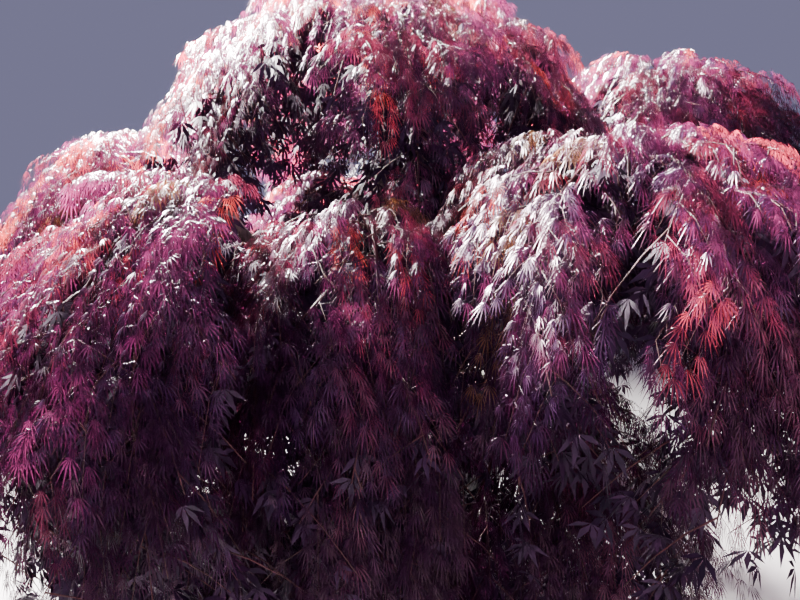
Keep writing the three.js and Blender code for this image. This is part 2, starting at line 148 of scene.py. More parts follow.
class Finish:
    """A material that is being made, with its own node tree."""

    def __init__(self, name):
        self.material = bpy.data.materials.new(name)
        self.material.use_nodes = True
        self.tree = self.material.node_tree
        self.tree.nodes.clear()

    def node(self, kind, settings=None, sockets=None, output=0):
        """Adds any node: its settings come first, then the values or links of its sockets. Returns one
        output."""
        made = self.tree.nodes.new(kind)
        for key, value in (settings or {}).items():
            if key == "ramp":
                while len(made.color_ramp.elements) < len(value):
                    made.color_ramp.elements.new(0.5)
                for element, (place, colour) in zip(made.color_ramp.elements, value):
                    element.position = place
                    element.color = (*colour, 1)
            else:
                setattr(made, key, value)
        for key, value in (sockets or {}).items():
            if isinstance(value, Wire):
                self.tree.links.new(value.socket, made.inputs[key])
            else:
                made.inputs[key].default_value = value
        return Wire(self, made.outputs[output])

    def place(self, stretch=(1, 1, 1)):
        """The place on the piece in metres, stretched along its axes."""
        here = self.node("ShaderNodeTexCoord", output="Object")
        return self.node("ShaderNodeMapping", {}, {"Vector": here, "Scale": stretch})

    def noise(self, where, scale, detail=3.0, roughness=0.55):
        sockets = {"Vector": where, "Scale": scale, "Detail": detail, "Roughness": roughness}
        return self.node("ShaderNodeTexNoise", {"noise_dimensions": "3D"}, sockets)

    def ramp(self, factor, *stops):
        return self.node("ShaderNodeValToRGB", {"ramp": stops}, {"Fac": factor})

    def mix(self, factor, first, second, how="MIX"):
        settings = {"data_type": "RGBA", "blend_type": how}
        return self.node("ShaderNodeMix", settings, {0: factor, 6: first, 7: second}, output=2)

    def bump(self, height, distance, strength=0.6):
        return self.node("ShaderNodeBump", {}, {"Height": height, "Distance": distance, "Strength": strength})

    def plain(self, sockets):
        """Ends the material with one plain shader, from the values or links of its sockets."""
        return self.done(self.node("ShaderNodeBsdfPrincipled", {}, sockets))

    def done(self, shader):
        output = self.tree.nodes.new("ShaderNodeOutputMaterial")
        self.tree.links.new(shader.socket, output.inputs["Surface"])
        return self.material


def pot_profile():
    """The wall leans out from foot to neck with a slight belly, which is a half sine. The rim is a band
    with round edges, and the inside runs parallel to the wall down to the floor."""
    neck = POT_HEIGHT - POT_RIM_HEIGHT
    share = np.linspace(0, 1, 28)
    radius = POT_FOOT_RADIUS + (POT_NECK_RADIUS - POT_FOOT_RADIUS) * share + POT_BELLY * np.sin(np.pi * share)
    wall = np.stack([radius, neck * share], 1)[2:]
    foot_edge = 0.010
    foot = arc((POT_FOOT_RADIUS - foot_edge, foot_edge), foot_edge, 270, 360, 5)
    edge = 0.012
    rim_inside = POT_NECK_RADIUS - POT_WALL
    rim = np.concatenate(
        [
            arc((POT_RIM_RADIUS - edge, neck + edge + 0.004), edge, 270, 360, 6),
            arc((POT_RIM_RADIUS - edge, POT_HEIGHT - edge), edge, 0, 90, 6),
            arc((rim_inside + edge, POT_HEIGHT - edge), edge, 90, 180, 6),
        ]
    )
    inner = np.stack([radius - POT_WALL, neck * share], 1)[3:][::-1]
    return np.concatenate([[[0, 0]], foot, wall, rim, inner, [[inner[-1, 0], POT_FLOOR], [0, POT_FLOOR]]])


def clay_finish():
    """Dark fibre clay: a mottled grey, a pale bloom of lime that creeps up from the foot, and a fine cast
    grain."""
    finish = Finish("pot_fibre_clay")
    here = finish.place()
    mottle = finish.noise(here, 9.0, 6.0, 0.6)
    grain = finish.noise(here, 160.0, 2.0)
    dark, middle, pale = (0.030, 0.031, 0.033), (0.048, 0.048, 0.049), (0.080, 0.077, 0.073)
    clay = finish.ramp(mottle, (0.32, dark), (0.55, middle), (0.72, pale))
    height = finish.node("ShaderNodeSeparateXYZ", {}, {"Vector": here}, output="Z")
    low = finish.node(
        "ShaderNodeMapRange", {"interpolation_type": "SMOOTHSTEP"},
        {"Value": height + (mottle - 0.5) * 0.22, "From Min": 0.16, "From Max": 0.0},
    )
    bloom = finish.mix(low * 0.45, clay, (0.30, 0.29, 0.27, 1))
    speckled = finish.mix((grain - 0.45) * 0.5, bloom, (0.16, 0.155, 0.15, 1))
    return finish.plain(
        {
            "Base Color": speckled,
            "Roughness": 0.52 + mottle * 0.3,
            "Normal": finish.bump(grain * 0.35 + mottle * 0.65, 0.002),
        }
    )


pot = surface("fibre_clay_pot", *turned(pot_profile(), POT_TURNS))
smooth(pot)
for degrees in (30, 150, 270):
    heading = math.radians(degrees)
    where = (POT_DRAIN_CIRCLE * math.cos(heading), POT_DRAIN_CIRCLE * math.sin(heading), 0)
    bpy.ops.mesh.primitive_cylinder_add(
        vertices=32, radius=POT_DRAIN_RADIUS, depth=3 * POT_FLOOR, location=where
    )
    drill = bpy.context.object
    cut = pot.modifiers.new("drain", "BOOLEAN")
    cut.object = drill
    bpy.context.view_layer.objects.active = pot
    bpy.ops.object.modifier_apply(modifier=cut.name)
    bpy.data.objects.remove(drill)
pot.data.materials.append(clay_finish())
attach(pot, "root")
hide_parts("pot")


# The soil: potting soil that fills the pot to just under its rim, mounded round the trunk and strewn with
# chips of bark mulch.

SOIL_EDGE_HEIGHT = 0.536
SOIL_MIDDLE_HEIGHT = 0.566
SOIL_FLAT_RADIUS = 0.190
SOIL_RADIUS = 0.378
SOIL_BOTTOM = 0.045
CHIPS = 1500


def chance(seed, k):
    """Repeatable numbers from 0 to 1: the broken part of a large sine of draw k of seed."""
    value = np.sin(seed * 127.1 + k * 311.7 + 74.7) * 43758.5453
    return value - np.floor(value)


def swing(seed, k):
    """Repeatable numbers from -1 to 1."""
    return 2 * chance(seed, k) - 1


def ruffle(x, y, z, scale):
    """A smooth uneven field from about -1 to 1: three crossing sines, each bent by the next."""
    a = np.sin(scale * (1.00 * x + 0.37 * y) + 1.9 * np.sin(scale * (0.53 * y - 0.31 * z)))
    b = np.sin(scale * (0.91 * y + 0.43 * z) * 1.7 + 1.3 * np.sin(scale * (0.71 * z + 0.29 * x)))
    c = np.sin(scale * (0.87 * z - 0.51 * x) * 2.3 + 1.7 * np.sin(scale * (0.61 * x + 0.47 * y)))
    return (a + b + c) / 3


def soil_height(radius):
    """Level at the trunk, then a smooth fall to the wall."""
    share = np.clip((radius - SOIL_FLAT_RADIUS) / (SOIL_RADIUS - SOIL_FLAT_RADIUS), 0, 1)
    fall = share * share * (3 - 2 * share)
    return SOIL_MIDDLE_HEIGHT + (SOIL_EDGE_HEIGHT - SOIL_MIDDLE_HEIGHT) * fall


def mulch_chips():
    """Flat chips, each a six-cornered plate: its outline is an uneven hexagon and its plane leans a
    little."""
    k = np.arange(CHIPS)
    radius = 0.13 + (SOIL_RADIUS - 0.145) * np.sqrt(chance(k, 1))
    angle = 2 * np.pi * chance(k, 2)
    size = 0.007 + 0.014 * chance(k, 3) ** 2
    middle = np.stack([radius * np.cos(angle), radius * np.sin(angle), soil_height(radius) + 0.002], 1)
    turn = 2 * np.pi * chance(k, 4)
    along = np.stack([np.cos(turn), np.sin(turn), 0.5 * swing(k, 5)], 1)
    across = np.stack([-np.sin(turn), np.cos(turn), 0.5 * swing(k, 6)], 1) * 0.45
    corner = np.arange(6)
    reach = size[:, None] * (0.8 + 0.4 * chance(k[:, None], 10 + corner))
    outline = (
        along[:, None] * (reach * np.cos(np.pi * corner / 3))[..., None]
        + across[:, None] * (reach * np.sin(np.pi * corner / 3))[..., None]
    )
    thick = np.array([0, 0, 1]) * (0.0015 + 0.0015 * chance(k, 7))[:, None, None]
    flat = middle[:, None] + outline
    places = np.stack([flat - thick, flat + thick], 1).reshape(-1, 3)
    base = 12 * k[:, None]
    lid = base + 6 + corner
    bottom = base + corner[::-1]
    after = (corner + 1) % 6
    side = base[:, :, None] + np.stack([corner, after, 6 + after, 6 + corner], axis=1)
    return places, np.concatenate([lid, bottom]), side.reshape(-1, 4)


def soil_finish():
    """Damp dark compost with paler crumbs."""
    finish = Finish("potting_soil")
    here = finish.place()
    crumbs = finish.noise(here, 70.0, 6.0, 0.7)
    damp = finish.noise(here, 6.0, 2.0)
    wet, dry, crumb = (0.012, 0.008, 0.005), (0.034, 0.022, 0.014), (0.085, 0.058, 0.038)
    earth = finish.ramp(crumbs, (0.35, wet), (0.6, dry), (0.78, crumb))
    colour = finish.mix(damp * 0.4, earth, (0.012, 0.009, 0.007, 1))
    return finish.plain(
        {"Base Color": colour, "Roughness": 0.95 - damp * 0.15, "Normal": finish.bump(crumbs, 0.004, 0.9)}
    )


def chip_finish(name, colour):
    """Weathered bark of one shade, with a fine grain."""
    finish = Finish(name)
    grain = finish.noise(finish.place(), 220.0, 3.0)
    dark = tuple(0.55 * c for c in colour)
    return finish.plain({"Base Color": finish.ramp(grain, (0.3, dark), (0.7, colour)), "Roughness": 0.9})


def soil_profile():
    """Down the inside of the wall from the floor, then over the mound to the trunk."""
    wall = np.linspace(0, 1, 8)
    inside = POT_FOOT_RADIUS + 0.5 * POT_BELLY + (POT_NECK_RADIUS - POT_FOOT_RADIUS) * wall - POT_WALL - 0.002
    height = SOIL_BOTTOM + (SOIL_EDGE_HEIGHT - SOIL_BOTTOM) * wall
    side = np.stack([np.minimum(inside, SOIL_RADIUS), height], 1)
    radius = np.linspace(SOIL_RADIUS - 0.004, 0.01, 60)
    mound = np.stack([radius, soil_height(radius)], 1)
    return np.concatenate([[[0, SOIL_BOTTOM]], side, mound, [[0, SOIL_MIDDLE_HEIGHT]]])


soil_places, soil_quads, soil_fans = turned(soil_profile(), 160)
is_top = soil_places[:, 2] > SOIL_EDGE_HEIGHT - 0.003
x, y, z = soil_places.T
soil_places[:, 2] += is_top * (0.0035 * ruffle(x, y, z, 95.0) + 0.0025 * ruffle(y, x, z, 260.0) - 0.002)
soil = surface("potting_soil_surface", soil_places, soil_quads, soil_fans)
smooth(soil)
soil.data.materials.append(soil_finish())
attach(soil, "root")
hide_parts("soil")

mulch = surface("bark_mulch", *mulch_chips())
CHIP_COLOURS = {
    "mulch_brown": (0.115, 0.062, 0.036),
    "mulch_grey": (0.130, 0.108, 0.090),
    "mulch_dark": (0.040, 0.024, 0.016),
}
for name, colour in CHIP_COLOURS.items():
    mulch.data.materials.append(chip_finish(name, colour))
kind = (3 * chance(np.arange(CHIPS), 8)).astype(np.int32)
mulch.data.polygons.foreach_set("material_index", np.concatenate([kind, kind, np.repeat(kind, 6)]))
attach(mulch, "root")


# The trunk: short and leaning, of old wood, with roots that stand out of the soil as buttresses. Its bark
# is grey-brown and thin, with shallow fissures that run up it.

TRUNK_FOOT = SOIL_MIDDLE_HEIGHT + 0.0003
TRUNK_FORK = 1.010
TRUNK_LEAN = (-0.046, 0.030)
TRUNK_FLARE_RADIUS = 0.132
TRUNK_NECK_RADIUS = 0.074
TRUNK_FORK_RADIUS = 0.058
TRUNK_FLARE_HEIGHT = 0.095


def curve_through(points, share):
    """Points at shares of the length of a smooth curve through the given points. The curve is a centripetal
    Catmull-Rom spline: between two points it is a cubic whose slopes come from their neighbours, weighted
    by the fourth root of the squared spacing."""
    points = np.asarray(points, float)
    ends = 2 * points[[0, -1]] - points[[1, -2]]
    p = np.concatenate([ends[:1], points, ends[1:]])
    gap = np.sqrt(np.linalg.norm(np.diff(p, axis=0), axis=1))[:, None]
    p0, p1, p2, p3 = p[:-3], p[1:-2], p[2:-1], p[3:]
    g0, g1, g2 = gap[:-2], gap[1:-1], gap[2:]
    slope1 = ((p1 - p0) / g0 - (p2 - p0) / (g0 + g1) + (p2 - p1) / g1) * g1
    slope2 = ((p2 - p1) / g1 - (p3 - p1) / (g1 + g2) + (p3 - p2) / g2) * g1
    t = np.linspace(0, 1, 80)[None, :, None]
    square = 3 * (p2 - p1) - 2 * slope1 - slope2
    cube = 2 * (p1 - p2) + slope1 + slope2
    p1, slope1, square, cube = (v[:, None] for v in (p1, slope1, square, cube))
    dense = (p1 + slope1 * t + square * t * t + cube * t * t * t).reshape(-1, 3)
    length = np.concatenate([[0], np.cumsum(np.linalg.norm(np.diff(dense, axis=0), axis=1))])
    reach = np.asarray(share) * length[-1]
    return np.stack([np.interp(reach, length, dense[:, i]) for i in range(3)], axis=-1)


def unit(v):
    return v / np.maximum(np.linalg.norm(v, axis=-1, keepdims=True), 1e-9)


def tubes(paths, radii, across, sides):
    """Tapering tubes along many paths at once. paths is (tubes, steps, 3), radii is (tubes, steps, 1 or
    sides), and across is a vector for each tube that its path never runs along. Each ring is a circle in
    the plane across the path, the foot is one flat face, and the tip comes to a point."""
    count, steps = paths.shape[:2]
    along = unit(np.gradient(paths, axis=1))
    first = unit(np.cross(along, np.broadcast_to(across[:, None], along.shape)))
    second = np.cross(along, first)
    angle = 2 * np.pi * np.arange(sides) / sides
    ring = first[:, :, None] * np.cos(angle)[:, None] + second[:, :, None] * np.sin(angle)[:, None]
    places = paths[:, :, None] + ring * radii[..., None]
    tips = paths[:, -1] + along[:, -1] * radii[:, -1].mean(axis=-1, keepdims=True)
    places = np.concatenate([places.reshape(count, -1, 3), tips[:, None]], axis=1)
    step = np.arange(sides)
    after = (step + 1) % sides
    row = np.arange(steps - 1)[:, None] * sides
    quads = np.stack([row + step, row + after, row + sides + after, row + sides + step], axis=-1)
    quads = quads.reshape(1, -1, 4)
    top = (steps - 1) * sides
    fan = np.stack([top + step, top + after, np.full(sides, steps * sides)], axis=-1)[None]
    foot = step[::-1][None, None]
    base = (np.arange(count) * (steps * sides + 1))[:, None, None]
    blocks = [(base + block).reshape(-1, block.shape[-1]) for block in (quads, fan, foot)]
    return places.reshape(-1, 3), blocks


def bark_relief(angle, along, knots):
    """How far bark stands out, from 0 to 1: fissures that run up the limb and wander, crossed by fine
    wrinkles and a few knots. angle runs round the limb and along runs up it in metres."""
    wander = 1.1 * np.sin(23 * along + knots) + 0.7 * np.sin(61 * along - 2 * knots)
    wide = np.abs(np.sin(4 * angle + wander))
    narrow = np.abs(np.sin(7 * angle - 1.4 * wander + knots))
    fissures = 0.6 * wide + 0.4 * narrow
    wrinkles = np.sin(190 * along + 3 * np.sin(3 * angle + knots))
    lumps = np.sin(14 * along + knots) * np.sin(2 * angle + 9 * along)
    return 0.62 * fissures + 0.08 * wrinkles + 0.30 * lumps


def limb_radii(radius, length, sides, knots, relief):
    """The limb's plain radius along its length, with the relief added: (steps, sides)."""
    angle = (2 * np.pi * np.arange(sides) / sides)[None]
    along = np.linspace(0, length, len(radius))[:, None]
    return radius[:, None] * (1 + relief * (bark_relief(angle, along, knots) - 0.35))


def bark_finish():
    """Thin grey-brown bark, darker in the fissures, with greenish-grey patches on older wood."""
    finish = Finish("maple_bark")
    here = finish.place()
    tall = finish.place((1, 1, 0.22))
    streaks = finish.noise(tall, 70.0, 5.0, 0.62)
    patches = finish.noise(here, 11.0, 3.0)
    fissure, brown, ridge = (0.028, 0.020, 0.017), (0.085, 0.066, 0.056), (0.170, 0.146, 0.128)
    wood = finish.ramp(streaks, (0.34, fissure), (0.5, brown), (0.68, ridge))
    lichen = finish.ramp(patches, (0.56, (0, 0, 0)), (0.66, (1, 1, 1)))
    mossy = finish.node("ShaderNodeRGBToBW", {}, {"Color": lichen})
    colour = finish.mix(mossy * 0.35, wood, (0.150, 0.165, 0.125, 1))
    return finish.plain(
        {
            "Base Color": colour,
            "Roughness": 0.78 + streaks * 0.15,
            "Normal": finish.bump(streaks, 0.003, 0.8),
        }
    )


def trunk_line(share):
    foot = np.array([0, 0, TRUNK_FOOT])
    lean = np.array([*TRUNK_LEAN, 0])
    rise = TRUNK_FORK - TRUNK_FOOT
    middle = foot + lean * (0.9, 0.1, 0) + (0, 0, 0.55 * rise)
    return curve_through([foot, foot + (0, 0, TRUNK_FLARE_HEIGHT), middle, foot + lean + (0, 0, rise)], share)


TRUNK_SIDES = 96
share = np.linspace(0, 1, 150)
rise = share * (TRUNK_FORK - TRUNK_FOOT)
taper = TRUNK_NECK_RADIUS + (TRUNK_FORK_RADIUS - TRUNK_NECK_RADIUS) * share
taper = taper + (TRUNK_FLARE_RADIUS - TRUNK_NECK_RADIUS) * np.exp(-rise / (0.55 * TRUNK_FLARE_HEIGHT))
angle = 2 * np.pi * np.arange(TRUNK_SIDES) / TRUNK_SIDES
roots = 0.17 * np.exp(-7 * share)[:, None] * np.cos(5 * angle + 0.6)
trunk_radii = limb_radii(taper, TRUNK_FORK - TRUNK_FOOT, TRUNK_SIDES, 1.0, 0.085) * (1 + roots)
trunk_path = trunk_line(share)
trunk_path[:, 2] = np.maximum(trunk_path[:, 2], TRUNK_FOOT)
trunk_mesh, trunk_faces = tubes(trunk_path[None], trunk_radii[None], np.array([[1.0, 0, 0]]), TRUNK_SIDES)
trunk = surface("trunk_wood", trunk_mesh, *trunk_faces)
smooth(trunk)
bark = bark_finish()
trunk.data.materials.append(bark)
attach(trunk, "root")
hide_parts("trunk")


# The boughs: one to each tier of foliage. Each leaves the trunk low or high, climbs outwards with a slow
# double bend and ends upright under the top of its tier.

BOUGH_TIP_RADIUS = 0.013
BOUGH_TIP_BELOW_TOP = 0.062
BOUGH_SIDES = 30
# One row for each tier: name, tip (x, y), top of the tier, its spread and drop, where on the trunk the
# bough leaves, the bough's radius there, and the headings of its masses: the first, the step between them,
# and how many.
Tier = namedtuple("Tier", "name hub top spread drop leaves_at bough_radius first step masses")
TIER_ROWS = [
    ("crown", (-0.060, 0.212), 2.090, 0.765, 0.700, 1.00, 0.044, 20, 52, 7),
    ("front_lobe", (0.595, -0.712), 1.590, 0.545, 0.480, 0.62, 0.034, -175, 48, 5),
    ("front_left", (-0.451, -0.714), 1.486, 0.520, 0.640, 0.74, 0.032, -179, 42, 3),
    ("left_shoulder", (-0.900, 0.050), 1.600, 0.520, 0.790, 0.84, 0.036, 121, 42, 4),
    ("back", (-0.204, 0.620), 1.440, 0.540, 0.780, 0.70, 0.033, 16, 45, 4),
    ("right_back", (1.013, 0.346), 1.885, 0.625, 0.900, 0.90, 0.038, -110, 54, 5),
    ("skirt_right_front", (0.430, -0.600), 0.890, 0.395, 0.560, 0.40, 0.024, -138, 49, 3),
    ("skirt_front", (-0.215, -0.535), 0.700, 0.390, 0.440, 0.42, 0.022, -154, 44, 3),
    ("skirt_left_front", (-0.597, -0.306), 0.881, 0.500, 0.540, 0.36, 0.025, -213, 52, 3),
    ("skirt_left_back", (-0.523, 0.331), 0.839, 0.480, 0.540, 0.46, 0.025, 76, 54, 3),
    ("skirt_right_back", (0.505, 0.850), 0.785, 0.480, 0.520, 0.34, 0.025, -14, 61, 3),
    ("front_middle", (-0.084, -0.675), 1.428, 0.410, 0.650, 0.80, 0.029, -130, 43, 2),
]
TIERS = [Tier(*row) for row in TIER_ROWS]


def bough_line(number, share):
    """The bough's course: through points at rising shares of the way from trunk to tip, moved sideways by
    turns."""
    tier = TIERS[number]
    start = trunk_line(0.52 + 0.45 * tier.leaves_at)
    end = np.array([*tier.hub, tier.top - BOUGH_TIP_BELOW_TOP])
    across = (end - start) * (1, 1, 0)
    sideways = unit(np.array([-across[1], across[0], 0]))
    bend = np.linalg.norm(across) * 0.1 * swing(number, 1) + 0.024 * np.sign(swing(number, 2))
    if tier.leaves_at == 1:
        course = [(0, 0, 0), (0.25, 0.3, 0.046), (0.75, 0.68, -0.040), (1, 1, 0)]
    else:
        course = [(0, 0, 0), (0.2, 0.13, 0.3 * bend), (0.46, 0.32, bend)]
        course += [(0.76, 0.6, -0.45 * bend), (0.94, 0.84, -0.2 * bend), (1, 1, 0)]
    way = [start + (end - start) * (out, out, up) + sideways * aside for out, up, aside in course]
    return curve_through(way, share)


share = np.linspace(0, 1, 110)
bough_paths = np.array([bough_line(number, share) for number in range(len(TIERS))])
bough_radii = []
for number, tier in enumerate(TIERS):
    taper = tier.bough_radius + (BOUGH_TIP_RADIUS - tier.bough_radius) * share**0.8
    length = np.linalg.norm(np.diff(bough_paths[number], axis=0), axis=1).sum()
    bough_radii.append(limb_radii(taper, length, BOUGH_SIDES, 2.0 + number, 0.10))
way = bough_paths[:, -1] - bough_paths[:, 0]
bough_across = unit(np.cross(way, (0, 0, 1)))
bough_mesh, bough_faces = tubes(bough_paths, np.array(bough_radii), bough_across, BOUGH_SIDES)
boughs = surface("bough_wood", bough_mesh, *bough_faces)
smooth(boughs)
boughs.data.materials.append(bark)
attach(boughs, "root")
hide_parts(*[f"{tier.name}_bough" for tier in TIERS])


# The twigs: from each bough's tip the masses hang like the ribs of an umbrella. A mass has one stem along
# its spine, side twigs that arch out of it in shelves and droop, and twiglets that hang from those.

SPINE_START, SPINE_END = 8, 99
SPINE_SWAY = 0.034
SPINE_APART = 0.135
SPINE_SAMPLES = 9
TWIG_SPACING = 0.042
TWIGLET_SPACING = 0.040
SHELF_SPACING = 0.27
OWN_SPACE_MARGIN = 0.002
REACH_MARGIN = 0.02
POT_ROOM = 0.035
GROUND_ROOM = 0.090
MINGLING = 0.12
MINGLING_RADIUS = 0.30
FAR_AWAY = 9
PLACES_AT_ONCE = 10000
STEM_STEPS = 16
STEM_RADIUS, STEM_TIP_RADIUS = 0.0050, 0.0014
TWIG_RADII = (0.0024, 0.0011)
TWIGLET_RADII = (0.0011, 0.0006)
SHOOT_RADII = (0.0022, 0.0010)

down = np.array([0, 0, -1.0])


def spine(m, u):
    """Places at shares u of the spines of masses m: a quarter of an ellipse out and down from the bough's
    tip, with a sideways sway that is a half sine."""
    angle = np.radians(SPINE_START + (SPINE_END - SPINE_START) * u)
    place = masses["hub"][m] + masses["outward"][m] * (masses["spread"][m] * np.sin(angle))[..., None]
    place = place + masses["side"][m] * (masses["sway"][m] * np.sin(np.pi * u))[..., None]
    return place + down * (masses["drop"][m] * (1 - np.cos(angle)))[..., None]


def spine_heading(m, u):
    return unit(spine(m, u + 0.01) - spine(m, u - 0.01))


def facing(m, u):
    """The direction in which the outer face of a mass looks: across its spine and its side, turned
    outwards."""
    normal = unit(np.cross(spine_heading(m, u), masses["side"][m]))
    outwards = (normal * masses["outward"][m]).sum(-1) + normal[..., 2]
    return normal * np.where(outwards < 0, -1, 1)[..., None]


def flat_heading(degrees):
    turn = np.radians(degrees)
    return np.stack([np.cos(turn), np.sin(turn), 0 * turn], axis=-1)


def plan_masses():
    """Lays out the masses tier by tier, each with its place, its heading and its own seed."""
    rows = [(t, k) for t, tier in enumerate(TIERS) for k in range(tier.masses)]
    tier = np.array([t for t, _ in rows])
    k = np.array([k for _, k in rows])
    seed = 10 * tier + k + 1
    keys = ("spread", "drop", "first", "step")
    spread, drop, first, step = (np.array([getattr(TIERS[t], key) for t in tier], float) for key in keys)
    degrees = first + step * k + 5 * swing(seed, 1)
    names = [f"{TIERS[t].name}_foliage_{i + 1}" for t, i in rows]
    boxes = np.array([[list(corner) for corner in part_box(name)] for name in names])
    return {
        "tier": tier, "seed": seed, "name": names, "low": boxes[:, 0], "high": boxes[:, 1],
        "hub": np.array([[*TIERS[t].hub, TIERS[t].top] for t in tier]),
        "outward": flat_heading(degrees), "side": flat_heading(degrees + 90),
        "sway": SPINE_SWAY * swing(seed, 4), "step": np.radians(step),
        "spread": spread * (1 + 0.08 * swing(seed, 2)), "drop": drop * (1 + 0.07 * swing(seed, 3)),
    }


# A mass reaches less far where the spines of earlier tiers would come too near.
masses = plan_masses()
sample_shares = 0.03 + 0.95 * np.arange(SPINE_SAMPLES) / (SPINE_SAMPLES - 1)
samples = np.zeros((len(masses["tier"]), SPINE_SAMPLES, 3))
for m in range(len(samples)):
    full_spread, full_drop = masses["spread"][m], masses["drop"][m]
    others = samples[:m][masses["tier"][:m] != masses["tier"][m]].reshape(-1, 3)
    for reach in 1 - 0.07 * np.arange(9):
        masses["spread"][m] = full_spread * reach
        masses["drop"][m] = full_drop * reach * reach
        samples[m] = spine(np.full(SPINE_SAMPLES, m), sample_shares)
        apart = np.linalg.norm(samples[m, 2:, None] - others[None], axis=-1)
        if apart.size == 0 or apart.min() > SPINE_APART:
            break


def room(m, places):
    """How far places lie inside the share of the crown that belongs to masses m: half the distance to the
    nearest other spine less that to the nearest own one. Round the top of a tier, where its masses meet,
    they may mingle."""
    result = np.empty(len(places))
    from_hub = np.linalg.norm(places - masses["hub"][m], axis=1)
    mingling = MINGLING * np.clip(1 - from_hub / MINGLING_RADIUS, 0, 1)
    flat = samples.reshape(-1, 3)
    owner = np.repeat(np.arange(len(samples)), SPINE_SAMPLES)
    for start in range(0, len(places), PLACES_AT_ONCE):
        part = slice(start, start + PLACES_AT_ONCE)
        distance = np.linalg.norm(places[part, None] - flat[None], axis=-1)
        own = owner[None] == m[part, None]
        to_other = np.where(own, FAR_AWAY, distance).min(1)
        to_own = np.where(own, distance, FAR_AWAY).min(1)
        result[part] = (to_other - to_own) / 2
    return result + mingling


def clear_of_limbs(places, distance):
    """True where places keep a distance from every bough."""
    balls = bough_paths[:, ::4].reshape(-1, 3)
    sizes = np.array(bough_radii).mean(axis=2)[:, ::4].reshape(-1)
    clear = np.ones(len(places), bool)
    for start in range(0, len(places), PLACES_AT_ONCE):
        part = slice(start, start + PLACES_AT_ONCE)
        gap = np.linalg.norm(places[part, None] - balls[None], axis=-1) - sizes
        clear[part] = gap.min(1) > distance
    return clear


def within_reach(m, places):
    """True where places lie in the box of their mass in the CAD model, with a small margin, and off the
    pot."""
    inside = (places > masses["low"][m] - REACH_MARGIN) & (places < masses["high"][m] + REACH_MARGIN)
    return inside.all(axis=1) & off_pot_and_ground(places)


def off_pot_and_ground(places):
    """True where a leaf at a place misses the pot and hangs clear of the ground."""
    off_pot = np.hypot(places[:, 0], places[:, 1]) > POT_RIM_RADIUS + POT_ROOM
    return (off_pot | (places[:, 2] > POT_HEIGHT + POT_ROOM)) & (places[:, 2] > GROUND_ROOM)


def arching(start, heading, length, droop, steps):
    """Paths that set out straight and bend down with the square of the distance: (twigs, steps, 3)."""
    t = np.linspace(0, 1, steps)[None, :, None]
    way = heading[:, None] * t + down * droop[:, None, None] * t * t
    return start[:, None] + length[:, None, None] * way


def path_point(start, heading, length, droop, t):
    return start + length[:, None] * (heading * t[:, None] + down * (droop * t * t)[:, None])


def path_heading(heading, droop, t):
    return unit(heading + down * (2 * droop * t)[:, None])


count = len(masses["tier"])
stem_shares = np.linspace(0, 1, STEM_STEPS)
owner = np.repeat(np.arange(count), len(stem_shares)).reshape(count, -1)
stem_paths = spine(owner, np.broadcast_to(0.97 * stem_shares, owner.shape))
tips = bough_paths[masses["tier"], -1]
blend = np.clip(stem_shares / 0.14, 0, 1)[None, :, None]
stem_paths = tips[:, None] * (1 - blend) + stem_paths * blend
stem_taper = STEM_RADIUS * (1 - stem_shares) ** 0.7 + STEM_TIP_RADIUS
stem_radii = np.broadcast_to(stem_taper[None, :, None], (count, STEM_STEPS, 1))

# Side twigs, evenly spaced along each spine, by turns far to the left, far to the right and a little to
# each side. They stand out in shelves: the highest twig of a shelf stands out most and shades those below
# it. Near the top of the tier they stand up and partly cover the stems.
HANDS = np.array([1.0, -1.0, 0.4, -0.4])
spine_length = np.linalg.norm(np.diff(samples, axis=1), axis=2).sum(1)
per_mass = np.round(spine_length / TWIG_SPACING).astype(int)
twig_m = np.repeat(np.arange(count), per_mass)
twig_k = np.concatenate([np.arange(n) for n in per_mass])
twig_seed = 1000 + 40 * masses["seed"][twig_m] + twig_k
twig_u = np.clip((twig_k + 0.2 + 0.5 * chance(twig_seed, 1)) / per_mass[twig_m], 0.01, 0.99)
twig_hand = HANDS[twig_k % len(HANDS)]
shelf = 1 - (twig_u * spine_length[twig_m] / SHELF_SPACING + chance(masses["seed"][twig_m], 7)) % 1
standing_out = 0.05 + 1.0 * shelf**1.5 + 0.6 * np.clip(1 - twig_u / 0.25, 0, 1)
half_width = 0.68 * masses["step"][twig_m] * masses["spread"][twig_m]
spine_degrees = SPINE_START + 6 + (SPINE_END - SPINE_START) * np.minimum(twig_u, 0.75)
half_width = half_width * np.sin(np.radians(spine_degrees))
side_length = np.maximum(half_width, 0.07) * (0.85 + 0.3 * chance(twig_seed, 2)) + 0.04
twig_length = side_length * np.abs(twig_hand) + 0.17 * (1 - np.abs(twig_hand)) + 0.08 * shelf - 0.02
twig_heading = unit(
    masses["side"][twig_m] * twig_hand[:, None]
    + spine_heading(twig_m, twig_u) * (0.40 + 0.35 * chance(twig_seed, 4))[:, None]
    + facing(twig_m, twig_u) * standing_out[:, None]
)
twig_droop = 0.18 + 0.25 * chance(twig_seed, 6) + 0.30 * shelf
twig_start = spine(twig_m, twig_u)

# A twig whose end would leave its mass's share or reach is drawn in, and one that still would is left out.
fits = np.zeros(len(twig_m), bool)
for factor in (1.0, 0.85, 0.85, 0.8, 0.75):
    twig_length = np.where(fits, twig_length, factor * twig_length)
    twig_end = path_point(twig_start, twig_heading, twig_length, twig_droop, np.ones(len(twig_m)))
    fits = fits | ((room(twig_m, twig_end) > OWN_SPACE_MARGIN) & within_reach(twig_m, twig_end))
twig_m, twig_seed, twig_u, shelf, twig_start, twig_heading, twig_length, twig_droop = (
    v[fits] for v in (twig_m, twig_seed, twig_u, shelf, twig_start, twig_heading, twig_length, twig_droop)
)


def twig_course(twig):
    """Start, heading, length and droop of some side twigs."""
    return [v[twig] for v in (twig_start, twig_heading, twig_length, twig_droop)]


